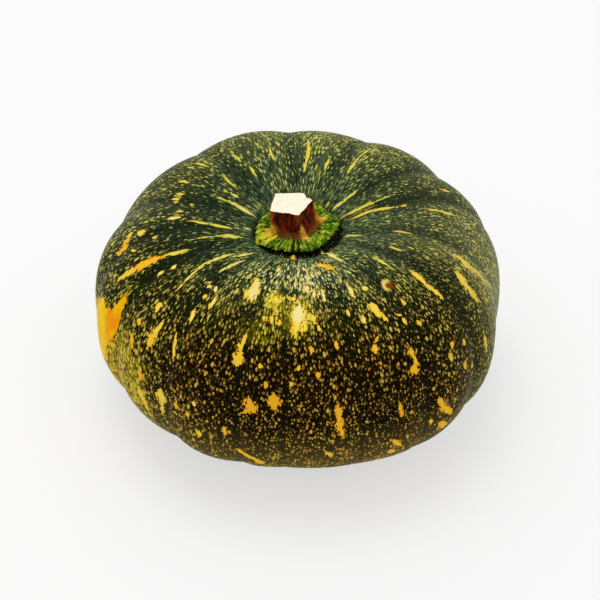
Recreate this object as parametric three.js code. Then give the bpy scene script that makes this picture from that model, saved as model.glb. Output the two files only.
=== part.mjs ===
// A ribbed green winter squash as picked: one squat fruit and the stub of stem that it was cut with.
//
// Units are millimetres and +Z is up. The squash stands on the plane z = 0, and the fruit's axis is Z.
// A bearing is an angle in degrees round that axis: 0 is the front (-Y) and 90 is the right side (+X).

import * as THREE from "three";

const RADIANS = Math.PI / 180;

// The fruit's smooth body, before its ribs. The girth is its widest ring.
const BODY_RADIUS = 97;
const GIRTH_HEIGHT = 48.2; // of the widest ring above the surface it stands on
const CROWN_RISE = 60.6; // from the girth up to where the crown would close without its hollow
const CROWN_SQUARENESS = 2.55; // 2 is an ellipse, and more is boxier
const BASE_DROP = 52;
const BASE_SQUARENESS = 2.5;

// The hollow that the stem sits in, and the narrow moat round the stem's foot.
const STEM_HOLLOW = { depth: 22, width: 45 };
const MOAT = { depth: 1.8, radius: 20.5, width: 1.6 };

// The dimple round the blossom end, underneath.
const BLOSSOM_HOLLOW = { depth: 6, width: 28 };

// The ribs, going round by growing bearing. Each runs from its own groove to the next rib's.
// groove is that groove's bearing, level is how far the groove stands out from the smooth body,
// and back is how far the middle of the rib stands above its two grooves.
const RIBS = [
  { groove: -177, level: 1.8, back: 2.9 },
  { groove: -142, level: 0.4, back: 1.4 },
  { groove: -106, level: -2.1, back: 1.8 },
  { groove: -82, level: 0.4, back: 1.9 },
  { groove: -62, level: -0.5, back: 1.5 },
  { groove: -39, level: -0.2, back: 2.3 },
  { groove: -17, level: -0.4, back: 1.7 },
  { groove: -4, level: -1.4, back: 1.5 },
  { groove: 17, level: 0, back: 1.5 },
  { groove: 36, level: 2.7, back: 1.8 },
  { groove: 56, level: 1.9, back: 2.2 },
  { groove: 80, level: -1.4, back: 1.6 },
  { groove: 104, level: 1, back: 1.6 },
  { groove: 126, level: 0, back: 2.8 },
  { groove: 155, level: 1, back: 1.4 },
];
const RIB_ROUNDNESS = 2.2; // 2 is a parabola across the rib, and more has a flatter back
const GROOVE_SOFTNESS = 0.12; // rounds off the bottom of a groove, as a share of half a rib

// The ribs rise from nothing at a distance from the axis, under the stem and at the blossom end, to
// their full height at the girth. fade is how fast: 1 is evenly, and less is sooner.
const CROWN_RIBS = { start: 20, fade: 0.6 };
const BASE_RIBS = { start: 12, fade: 0.8 };

// How finely the fruit's skin is divided.
const STEPS_PER_RIB = 8;
const LATITUDES = [
  -90, -80, -72, -65, -58, -52, -45, -37, -28, -18, -8, 2, 12, 22, 31, 39, 46, 52, 58, 64, 69,
  73, 76, 78, 80, 83, 90,
];

// The stem: five angles, each with its corner's distance from the stem's axis where the stem is cut
// and where its foot spreads over the fruit.
const STEM_ANGLES = [
  { bearing: -133, cut: 10.9, foot: 19.5 },
  { bearing: -64, cut: 11.1, foot: 20.2 },
  { bearing: 24, cut: 9, foot: 17.8 },
  { bearing: 108, cut: 10.6, foot: 21 },
  { bearing: 147, cut: 10.3, foot: 19.5 },
];
const CUT_FLATNESS = 0.85; // 1 has flat sides between the corners, and 0 is round
const FOOT_FLATNESS = 0.45;
const STEM_OFFSET = { x: -1, y: 0 }; // of the stem's foot from the fruit's axis
const STEM_LEAN = { x: -2.3, y: 1.2 }; // how far the cut end stands over from the foot
const RIM_HEIGHT = 5.6; // of the foot's widest ring, above the floor of the hollow
const CUT_HEIGHT = 18; // of the cut end, above the floor of the hollow
const SEAT_GAP = 0.35; // between the stem's underside and the fruit
const STEM_STEPS = 45;

// The stem's rings, from the middle of its underside, out round the foot's rim, over the foot's
// swollen edge, up the stub and in over the cut end. flare is 1 on the foot's outline and 0 on the
// stub's, and size scales that outline. A ring with no height lies along the hollow that the stem
// sits in.
const STEM_RINGS = [
  { flare: 1, size: 0 },
  { flare: 1, size: 0.3 },
  { flare: 1, size: 0.6 },
  { flare: 1, size: 0.86 },
  { flare: 1, size: 0.97, height: 4.4 },
  { flare: 1, size: 1, height: RIM_HEIGHT },
  { flare: 1, size: 0.97, height: 6.4 },
  { flare: 1, size: 0.86, height: 6.9 },
  { flare: 0.6, size: 0.88, height: 6.5 },
  { flare: 0.2, size: 1.05, height: 6.4 },
  { flare: 0, size: 1.12, height: 7.6 },
  { flare: 0, size: 1.04, height: 11 },
  { flare: 0, size: 1, height: 17.3 },
  { flare: 0, size: 0.96, height: CUT_HEIGHT },
  { flare: 0, size: 0.45, height: CUT_HEIGHT - 0.4 },
  { flare: 0, size: 0, height: CUT_HEIGHT - 0.4 },
];

const bell = (x) => Math.exp(-x * x);
const clamp01 = (x) => Math.min(1, Math.max(0, x));
const smoothStep = (u) => u * u * (3 - 2 * u);

// Height of a boxy oval of the given rise at a distance r from its axis, above its widest ring.
function ovalHeight(r, rise, squareness) {
  return rise * Math.max(0, 1 - (r / BODY_RADIUS) ** squareness) ** (1 / squareness);
}

function crownHeight(r) {
  const rim = bell(BODY_RADIUS / STEM_HOLLOW.width);
  const hollow = STEM_HOLLOW.depth * (bell(r / STEM_HOLLOW.width) - rim);
  const moat = MOAT.depth * bell((r - MOAT.radius) / MOAT.width);
  return ovalHeight(r, CROWN_RISE, CROWN_SQUARENESS) - hollow - moat;
}

function baseHeight(r) {
  const dimple = BLOSSOM_HOLLOW.depth * bell(r / BLOSSOM_HOLLOW.width);
  return dimple - ovalHeight(r, BASE_DROP, BASE_SQUARENESS);
}

// The smooth body's outline at a latitude in degrees, -90 at the blossom end and 90 at the stem end,
// as the distance from the axis and the height above the girth.
function outline(latitude) {
  const onCrown = latitude >= 0;
  const squareness = onCrown ? CROWN_SQUARENESS : BASE_SQUARENESS;
  const across = Math.max(0, Math.cos(latitude * RADIANS));
  const along = Math.abs(Math.sin(latitude * RADIANS));
  const reach = (across ** squareness + along ** squareness) ** (-1 / squareness);
  const r = Math.abs(latitude) === 90 ? 0 : BODY_RADIUS * reach * across;
  return new THREE.Vector2(r, onCrown ? crownHeight(r) : baseHeight(r));
}

// Unit vector out of the smooth body, square to its outline.
function outlineNormal(latitude) {
  const step = 0.05;
  const above = outline(Math.min(90, latitude + step));
  const below = outline(Math.max(-90, latitude - step));
  const along = above.sub(below).normalize();
  return new THREE.Vector2(along.y, -along.x);
}

// How far the skin stands out from the smooth body at a share u, 0 to 1, of the way across a rib.
function ribHeight(index, u) {
  const rib = RIBS[index];
  const next = RIBS[(index + 1) % RIBS.length];
  const soften = (s) => Math.hypot(s, GROOVE_SOFTNESS) - GROOVE_SOFTNESS;
  const fromGroove = soften(2 * Math.min(u, 1 - u)) / soften(1);
  const back = rib.back * (1 - (1 - fromGroove) ** RIB_ROUNDNESS);
  return THREE.MathUtils.lerp(rib.level, next.level, smoothStep(u)) + back;
}

// The ribs' share of their full height at a distance r from the axis, on the crown or the base.
function ribShare(r, ends) {
  return clamp01((r - ends.start) / (BODY_RADIUS - ends.start)) ** ends.fade;
}

function ribBearing(index, u) {
  const start = RIBS[index].groove;
  const end = index + 1 < RIBS.length ? RIBS[index + 1].groove : RIBS[0].groove + 360;
  return THREE.MathUtils.lerp(start, end, u);
}

// A point at a bearing and a distance from the Z axis.
function atBearing(bearing, r, z) {
  return new THREE.Vector3(r * Math.sin(bearing * RADIANS), -r * Math.cos(bearing * RADIANS), z);
}

// A point on the fruit's skin. What would reach below the surface it stands on is flattened there.
function skinPoint(index, u, latitude) {
  const body = outline(latitude);
  const normal = outlineNormal(latitude);
  const stand = ribHeight(index, u) * ribShare(body.x, latitude < 0 ? BASE_RIBS : CROWN_RIBS);
  const r = body.x + normal.x * stand;
  const z = GIRTH_HEIGHT + body.y + normal.y * stand;
  return atBearing(ribBearing(index, u), body.x === 0 ? 0 : r, Math.max(0, z));
}

// Distance from the stem's axis to a side that runs straight from corner a to corner b.
function sideDistance(bearing, a, b, key) {
  const toA = (bearing - a.bearing) * RADIANS;
  const toB = (b.bearing - bearing) * RADIANS;
  return (a[key] * b[key] * Math.sin(toA + toB)) / (a[key] * Math.sin(toA) + b[key] * Math.sin(toB));
}

// The stem's outline at a bearing: flare 0 is where it is cut, and flare 1 is its foot.
function stemRadius(bearing, flare) {
  const first = STEM_ANGLES[0].bearing;
  const turned = first + THREE.MathUtils.euclideanModulo(bearing - first, 360);
  const corners = [...STEM_ANGLES, { ...STEM_ANGLES[0], bearing: first + 360 }];
  const index = corners.findIndex((corner, i) => i > 0 && turned < corner.bearing + 1e-9);
  const a = corners[index - 1];
  const b = corners[index];
  const u = (turned - a.bearing) / (b.bearing - a.bearing);
  const shape = (key, flatness) => {
    const round = THREE.MathUtils.lerp(a[key], b[key], u);
    return THREE.MathUtils.lerp(round, sideDistance(turned, a, b, key), flatness);
  };
  return THREE.MathUtils.lerp(shape("cut", CUT_FLATNESS), shape("foot", FOOT_FLATNESS), flare);
}

function stemPoint(ring, bearing) {
  const reach = ring.size * stemRadius(bearing, ring.flare);
  const point = atBearing(bearing, reach, 0);
  point.x += STEM_OFFSET.x;
  point.y += STEM_OFFSET.y;
  if (ring.height === undefined) {
    point.z = GIRTH_HEIGHT + crownHeight(Math.hypot(point.x, point.y)) + SEAT_GAP;
    return point;
  }
  const up = clamp01((ring.height - RIM_HEIGHT) / (CUT_HEIGHT - RIM_HEIGHT));
  point.x += STEM_LEAN.x * up;
  point.y += STEM_LEAN.y * up;
  point.z = GIRTH_HEIGHT + crownHeight(0) + ring.height;
  return point;
}

// A closed skin of rings of points, from a point on the underside's axis to one on the top's axis.
// The lathe joins the rings into faces, and then each of its points is put in its real place.
function ringedSkin(ringCount, steps, pointAt) {
  const column = Array.from({ length: ringCount }, (_, ring) => {
    const closed = ring === 0 || ring === ringCount - 1;
    return new THREE.Vector2(closed ? 0 : 1, ring);
  });
  const skin = new THREE.LatheGeometry(column, steps);
  skin.deleteAttribute("normal");
  skin.deleteAttribute("uv");
  const position = skin.getAttribute("position");
  for (let step = 0; step <= steps; step++)
    for (let ring = 0; ring < ringCount; ring++) {
      const point = pointAt(ring, step % steps);
      position.setXYZ(step * ringCount + ring, point.x, point.y, point.z);
    }
  skin.computeVertexNormals();
  return skin;
}

function makeFruit() {
  const skin = ringedSkin(LATITUDES.length, RIBS.length * STEPS_PER_RIB, (ring, step) =>
    skinPoint(Math.floor(step / STEPS_PER_RIB), (step % STEPS_PER_RIB) / STEPS_PER_RIB, LATITUDES[ring]),
  );
  const rind = new THREE.MeshStandardMaterial({ color: 0x2b3216, roughness: 0.45, metalness: 0 });
  const fruit = new THREE.Mesh(skin, rind);
  fruit.name = "fruit";
  return fruit;
}

function makeStem() {
  const skin = ringedSkin(STEM_RINGS.length, STEM_STEPS, (ring, step) =>
    stemPoint(STEM_RINGS[ring], (step * 360) / STEM_STEPS),
  );
  const cork = new THREE.MeshStandardMaterial({ color: 0x6b4a1c, roughness: 0.75, metalness: 0 });
  const stem = new THREE.Mesh(skin, cork);
  stem.name = "stem";
  return stem;
}

const squash = new THREE.Group();
squash.add(makeFruit(), makeStem());

export default squash;
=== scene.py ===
"""A ribbed green winter squash: its fine rind with specks and streaks, and its corky stem."""

import math
import random

import bpy
import numpy as np
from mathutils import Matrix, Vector, noise


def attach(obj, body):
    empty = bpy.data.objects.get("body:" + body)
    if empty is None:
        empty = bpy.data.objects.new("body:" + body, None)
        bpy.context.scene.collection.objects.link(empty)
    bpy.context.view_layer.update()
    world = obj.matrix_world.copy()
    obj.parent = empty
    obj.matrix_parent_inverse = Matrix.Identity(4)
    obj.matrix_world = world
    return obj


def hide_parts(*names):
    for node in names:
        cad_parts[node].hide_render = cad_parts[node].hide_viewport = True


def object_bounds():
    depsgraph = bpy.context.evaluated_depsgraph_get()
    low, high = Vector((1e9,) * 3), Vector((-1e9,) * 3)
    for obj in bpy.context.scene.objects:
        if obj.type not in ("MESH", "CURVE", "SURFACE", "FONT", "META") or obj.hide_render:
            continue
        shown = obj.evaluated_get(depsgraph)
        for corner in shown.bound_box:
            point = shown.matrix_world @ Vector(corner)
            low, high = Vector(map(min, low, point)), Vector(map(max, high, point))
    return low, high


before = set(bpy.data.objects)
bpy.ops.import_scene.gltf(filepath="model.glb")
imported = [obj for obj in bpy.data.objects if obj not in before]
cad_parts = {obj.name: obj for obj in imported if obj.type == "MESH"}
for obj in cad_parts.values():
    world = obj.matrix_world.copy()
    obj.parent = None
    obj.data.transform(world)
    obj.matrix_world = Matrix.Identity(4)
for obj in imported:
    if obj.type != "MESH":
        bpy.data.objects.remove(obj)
cad_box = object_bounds()

# ---- The fruit -----------------------
# One squat winter squash, hard all through: fifteen ribs, a hollow round the stem, and underneath
# the dimple of the blossom end. It starts as a sphere, whose points are moved to the smooth body's
# outline and then out onto the ribs. Lengths are in millimetres until the points are written back.

MM = 0.001
BODY_RADIUS = 97.0
GIRTH_HEIGHT = 48.2  # the widest ring, above the surface that the squash stands on
CROWN_RISE = 60.6  # from there to the top of the smooth body, before its hollow is taken off
CROWN_SQUARENESS = 2.55  # 2 is an ellipse, and more is squarer
BASE_DROP = 52.0
BASE_SQUARENESS = 2.5
STEM_HOLLOW_DEPTH = 22.0
STEM_HOLLOW_WIDTH = 45.0
MOAT_DEPTH = 1.8  # of the narrow dip round the stem's foot
MOAT_RADIUS = 20.5
MOAT_WIDTH = 1.6
BLOSSOM_HOLLOW_DEPTH = 6.0
BLOSSOM_HOLLOW_WIDTH = 28.0
CROWN_RIBS_START = 20.0  # nearer to the axis than this there are no ribs
CROWN_RIBS_FADE = 0.6  # below 1 they stay high until close to there
BASE_RIBS_START = 12.0
BASE_RIBS_FADE = 0.8
OUTLINE_STEPS = 3601

# Each rib: the bearing of the groove that it starts from, how far that groove stands out from the
# smooth body, and how far the rib's back stands above its two grooves.
RIBS = [
    (-177, 1.8, 2.9),
    (-142, 0.4, 1.4),
    (-106, -2.1, 1.8),
    (-82, 0.4, 1.9),
    (-62, -0.5, 1.5),
    (-39, -0.2, 2.3),
    (-17, -0.4, 1.7),
    (-4, -1.4, 1.5),
    (17, 0.0, 1.5),
    (36, 2.7, 1.8),
    (56, 1.9, 2.2),
    (80, -1.4, 1.6),
    (104, 1.0, 1.6),
    (126, 0.0, 2.8),
    (155, 1.0, 1.4),
]
RIB_ROUNDNESS = 2.2  # 1 has flat sides, and more has a rounder back
GROOVE_SOFTNESS = 0.16  # of the rib's half width, over which the bottom of the groove is rounded

SKIN_INSET = 0.05  # keeps the fine skin inside the plain solid
CREASE_DEPTH = 0.25  # of the narrow line along each groove
CREASE_WIDTH = 2.2
SOFT_BEARING = 12.0  # the ribs are slight low down round here, at the front
SOFT_SPREAD = 34.0
SOFT_WAY = -40.0  # the way up from the girth where they are at their slightest
SOFTENING = (-9, -6, -3, 0, 3, 6, 9)  # the degrees over which they are evened out
LUMP_DEPTH = 0.3  # of the slight unevenness all over
LUMP_SPREAD = 17.0
LUMP_START = 30.0  # from the axis to here it grows to its full depth
ON_AXIS = 0.01  # points nearer to the axis than this are kept on it

SKIN_SEGMENTS = 108  # of the sphere, before its faces are split
SKIN_RINGS = 58
SPLITS = 2  # each one halves the faces both ways


def bell(x):
    """1 at 0, and less on both sides of it: nearly nothing beyond 2."""
    return np.exp(-(x**2))


def ramp(x, start, end):
    """0 at start and before it, 1 at end and beyond it, and even between them."""
    return np.clip((x - start) / (end - start), 0, 1)


def round_points(radius, turn, height):
    """Points at these distances from the axis, turns round it and heights."""
    return np.stack([radius * np.sin(turn), -radius * np.cos(turn), height], axis=1)


def oval_height(r, rise, squareness):
    """How far a squarish oval stands above its widest ring, at r from its axis."""
    return rise * np.clip(1 - (r / BODY_RADIUS) ** squareness, 0, 1) ** (1 / squareness)


def body_outline():
    """The smooth body from the blossom end to the stem end: radius, height above the girth, the way
    along the skin from the girth, and the share that the ribs have of their full height."""
    latitude = np.radians(np.linspace(-90, 90, OUTLINE_STEPS))
    crown = latitude >= 0
    squareness = np.where(crown, CROWN_SQUARENESS, BASE_SQUARENESS)
    across = np.clip(np.cos(latitude), 0, 1)
    along = np.abs(np.sin(latitude))
    radius = BODY_RADIUS * across * (across**squareness + along**squareness) ** (-1 / squareness)
    radius[[0, -1]] = 0
    rim = bell(BODY_RADIUS / STEM_HOLLOW_WIDTH)
    hollow = STEM_HOLLOW_DEPTH * (bell(radius / STEM_HOLLOW_WIDTH) - rim)
    moat = MOAT_DEPTH * bell((radius - MOAT_RADIUS) / MOAT_WIDTH)
    top = oval_height(radius, CROWN_RISE, CROWN_SQUARENESS) - hollow - moat
    dimple = BLOSSOM_HOLLOW_DEPTH * bell(radius / BLOSSOM_HOLLOW_WIDTH)
    bottom = dimple - oval_height(radius, BASE_DROP, BASE_SQUARENESS)
    height = np.where(crown, top, bottom)
    way = np.concatenate([[0], np.cumsum(np.hypot(np.diff(radius), np.diff(height)))])
    way -= np.interp(0, latitude, way)
    start = np.where(crown, CROWN_RIBS_START, BASE_RIBS_START)
    fade = np.where(crown, CROWN_RIBS_FADE, BASE_RIBS_FADE)
    share = ramp(radius, start, BODY_RADIUS) ** fade
    return radius, height, way, share


def turned(bearing, start):
    """The same bearing in degrees, counted from start to start + 360."""
    return (bearing - start) % 360 + start


GROOVES = np.array([rib[0] for rib in RIBS] + [RIBS[0][0] + 360.0])
LEVELS = np.array([rib[1] for rib in RIBS] + [RIBS[0][1]])
BACKS = np.array([rib[2] for rib in RIBS])


def rib_height(bearing):
    """How far the skin stands out from the smooth body at the girth."""
    place = turned(bearing, GROOVES[0])
    index = np.clip(np.searchsorted(GROOVES, place, side="right") - 1, 0, len(BACKS) - 1)
    u = (place - GROOVES[index]) / (GROOVES[index + 1] - GROOVES[index])
    near = np.minimum(u, 1 - u) * 2
    soft = np.hypot(near, GROOVE_SOFTNESS) - GROOVE_SOFTNESS
    soft /= np.hypot(1, GROOVE_SOFTNESS) - GROOVE_SOFTNESS
    back = BACKS[index] * (1 - (1 - soft) ** RIB_ROUNDNESS)
    blend = u * u * (3 - 2 * u)
    return LEVELS[index] * (1 - blend) + LEVELS[index + 1] * blend + back


def degrees_to_groove(bearing):
    """How many degrees each bearing is from the nearest groove."""
    place = turned(bearing, GROOVES[0])
    return np.abs(place[:, None] - GROOVES[None, :]).min(axis=1)


def fine_sphere(name, segments, rings):
    """A sphere of radius 1 with its faces split."""
    bpy.ops.object.select_all(action="DESELECT")
    bpy.ops.mesh.primitive_uv_sphere_add(segments=segments, ring_count=rings, radius=1)
    sphere = bpy.context.object
    sphere.name = name
    sphere.data.name = name
    split = sphere.modifiers.new("split", "SUBSURF")
    split.subdivision_type = "SIMPLE"
    split.levels = SPLITS
    split.render_levels = SPLITS
    bpy.ops.object.modifier_apply(modifier="split")
    return sphere


def bearing_and_rise(points):
    """The bearing of each point of a sphere in degrees, and its share, 0 to 1, of the way up."""
    bearing = np.degrees(np.arctan2(points[:, 0], -points[:, 1]))
    latitude = np.arctan2(points[:, 2], np.hypot(points[:, 0], points[:, 1]))
    return bearing, latitude / math.pi + 0.5


def read_points(piece):
    """The places of a piece's points, one to a row."""
    points = np.empty(len(piece.data.vertices) * 3)
    piece.data.vertices.foreach_get("co", points)
    return points.reshape(-1, 3)


def write_points(piece, points):
    """Moves a piece's points to these places, which are in millimetres."""
    piece.data.vertices.foreach_set("co", (points * MM).ravel())
    piece.data.update()


def keep_on_points(piece, name, values):
    """Stores one vector for each point of a piece, for its material to read."""
    layer = piece.data.attributes.new(name, "FLOAT_VECTOR", "POINT")
    layer.data.foreach_set("vector", np.ascontiguousarray(values, dtype=float).ravel())


def lumps(points, spread):
    """Smooth random numbers, -1 to 1, that change over about spread millimetres."""
    return np.array([noise.noise(Vector(point) / spread) for point in points])


fruit = fine_sphere("fruit_skin", SKIN_SEGMENTS, SKIN_RINGS)
outline_radius, outline_height, outline_way, outline_share = body_outline()
bearing, rise_share = bearing_and_rise(read_points(fruit))
turn = np.radians(bearing)
way = outline_way[0] + rise_share * (outline_way[-1] - outline_way[0])
radius = np.interp(way, outline_way, outline_radius)
height = np.interp(way, outline_way, outline_height)
share = np.interp(way, outline_way, outline_share)
rise = np.interp(way, outline_way, np.gradient(outline_height, outline_way))
run = np.interp(way, outline_way, np.gradient(outline_radius, outline_way))
slope = np.hypot(rise, run)
groove_gap = degrees_to_groove(bearing) * np.radians(radius)
evened = np.mean([rib_height(bearing + offset) for offset in SOFTENING], axis=0)
softness = ramp(way, 0, SOFT_WAY) * bell(turned(bearing - SOFT_BEARING, -180) / SOFT_SPREAD)
stand = (rib_height(bearing) * (1 - softness) + evened * softness) * share - SKIN_INSET
stand -= CREASE_DEPTH * bell(groove_gap / CREASE_WIDTH) * share * (1 - softness)
unevenness = 0.5 + 0.5 * lumps(round_points(radius, turn, height), LUMP_SPREAD)
stand -= LUMP_DEPTH * unevenness * ramp(radius, 0, LUMP_START)
skin_radius = radius + stand * rise / slope
skin_height = GIRTH_HEIGHT + height - stand * run / slope
skin_radius[radius < ON_AXIS] = 0
skin = round_points(skin_radius, turn, np.maximum(skin_height, 0))
write_points(fruit, skin)
bpy.ops.object.shade_smooth()

# ---- The rind ------------------------
# The fruit's hard skin, waxy and dark green. Pale specks cover it: they stretched along the ribs as
# it grew, and are long and thin near the stem. Yellow streaks lie over them, and on the left is the
# orange patch that it lay on in the field.


def paint(red, green, blue):
    """A colour given as on a screen, 0 to 255, in the shader's own linear terms."""
    levels = [value / 255 for value in (red, green, blue)]
    linear = [v / 12.92 if v <= 0.04045 else ((v + 0.055) / 1.055) ** 2.4 for v in levels]
    return (*linear, 1.0)


# Pairs of colours go from one to the other, such as from the girth to the crown. First the ground.
GROUND = paint(26, 29, 3), paint(19, 28, 5)
# browner and darker at the front: the rind's own brown, and painted shade
WARM_GROUND_AND_SHADE = paint(16, 8, 0)
# painted light bounced up from the table onto the base
BOUNCE_LIGHT = paint(106, 97, 50)
# painted sheen on the sides and at the back of the crown
PAINTED_SIDE_SHEEN = paint(120, 127, 92)
# painted shade along the grooves, a darker green
GROOVE_SHADE = paint(14, 28, 12)
# painted shade, near black, in the crevice round the stem's foot
PAINTED_CREVICE_SHADE = paint(4, 6, 1)
GROUND_YELLOWS = paint(166, 152, 4), paint(218, 168, 0)
GROUND_OLIVE = paint(134, 136, 6)
CROWN_REFLECTION = paint(14, 27, 12), paint(70, 97, 76)  # painted reflection of the light from above: a bluish haze near the stem

# The small faint specks, the rims of the others, the others themselves, and the rare flecks.
FAINT = paint(126, 130, 46), paint(118, 132, 60)
FAINT_WARM = paint(100, 78, 22)
FAINT_FINE = paint(176, 172, 92)
FAINT_YELLOWS = paint(176, 162, 12), paint(226, 178, 8)
EDGE = paint(140, 146, 50), paint(132, 100, 28)
EDGE_YELLOW = paint(190, 160, 10)
SPECK = paint(206, 198, 84), paint(194, 200, 100)
SPECK_REFLECTION = paint(172, 184, 132)
SPECK_PALE = paint(246, 236, 166)
SPECK_WARM = paint(196, 160, 58)
SPECK_TAWNY = paint(206, 132, 40)
SPECK_YELLOWS = paint(242, 222, 66), paint(252, 208, 36)
SPECK_GREEN = paint(206, 200, 76)
FLECK = paint(222, 214, 84), paint(206, 208, 92)
FLECK_WARM = paint(214, 174, 70)

# The streaks, the patch that the squash lay on, the scar and the cork of the blossom end.
STREAK = paint(255, 216, 64), paint(224, 216, 66)
STREAK_PALE = paint(254, 232, 166)
STREAK_ORANGE = paint(252, 182, 34)
STREAK_FADED_AND_SHEEN = paint(190, 182, 84)
PATCH = paint(255, 216, 0), paint(255, 158, 0)
SCAR = paint(96, 44, 2), paint(150, 78, 8)
SCAR_RIM = paint(226, 200, 104)
BLOSSOM = paint(112, 84, 46), paint(186, 152, 98)

# The ways up the rind over which the crown's look, the painted reflection near the stem and the
# painted light bounced up onto the base come in.
CROWN_WAYS = (42, 82)
CROWN_REFLECTION_WAYS = (55, 105)
BOUNCE_LIGHT_WAYS = (4, -28)

# The kinds of specks: how far apart they are in millimetres, how far they reach as a share of that,
# and how soft their edges are. The shifts keep the kinds from lying together.
SMALL_SPECKS = (0.95, 0.39, 0.12)
LARGE_SPECKS = (1.34, 0.38, 0.13)
SLENDER_SPECKS = (1.25, 0.4, 0.11)
BOLD_SPECKS = (1.75, 0.4, 0.1)
FLECKS = (4.0, 0.17, 0.05)
SMALL_SHIFT = (31, 7, 13)
BOLD_SHIFT = (11, 3, 29)
FLECK_SHIFT = (5, 17, 3)
SLENDER_SHAPE = (0.7, 0.7, 0.87)  # below 1 makes them larger that way: round the fruit and up it
BOLD_SHAPE = (0.68, 0.68, 0.85)
SPECK_WEAR = 0.5  # millimetres by which their outlines are worn
SPECK_SIZES = (0.7, 0.45)  # the smallest one's share of their reach, and how much more others have

RIND_FINISH = {
    "Specular IOR Level": 0.015,
    "Sheen Weight": 0.16,
    "Sheen Roughness": 0.24,
    "Sheen Tint": (0.8, 0.9, 0.66, 1),
}
RIND_ROUGHNESS = 0.42
SPECK_ROUGHNESS = 0.06  # added by each kind of speck
RIND_RELIEF = (0.0003, 0.5)  # of the specks and pores: metres, and its strength

GRAIN_AT_GIRTH = 1.6  # how much longer than wide a speck is
GRAIN_AT_STEM = 2.6
GRAIN_WAYS = (25.0, 95.0)  # millimetres along the rind from the girth, between which it changes
TIGHT_BEARING = 70.0  # where the specks are smallest, and opposite it they are largest
TIGHTENING = 0.12  # the share by which they are

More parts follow.
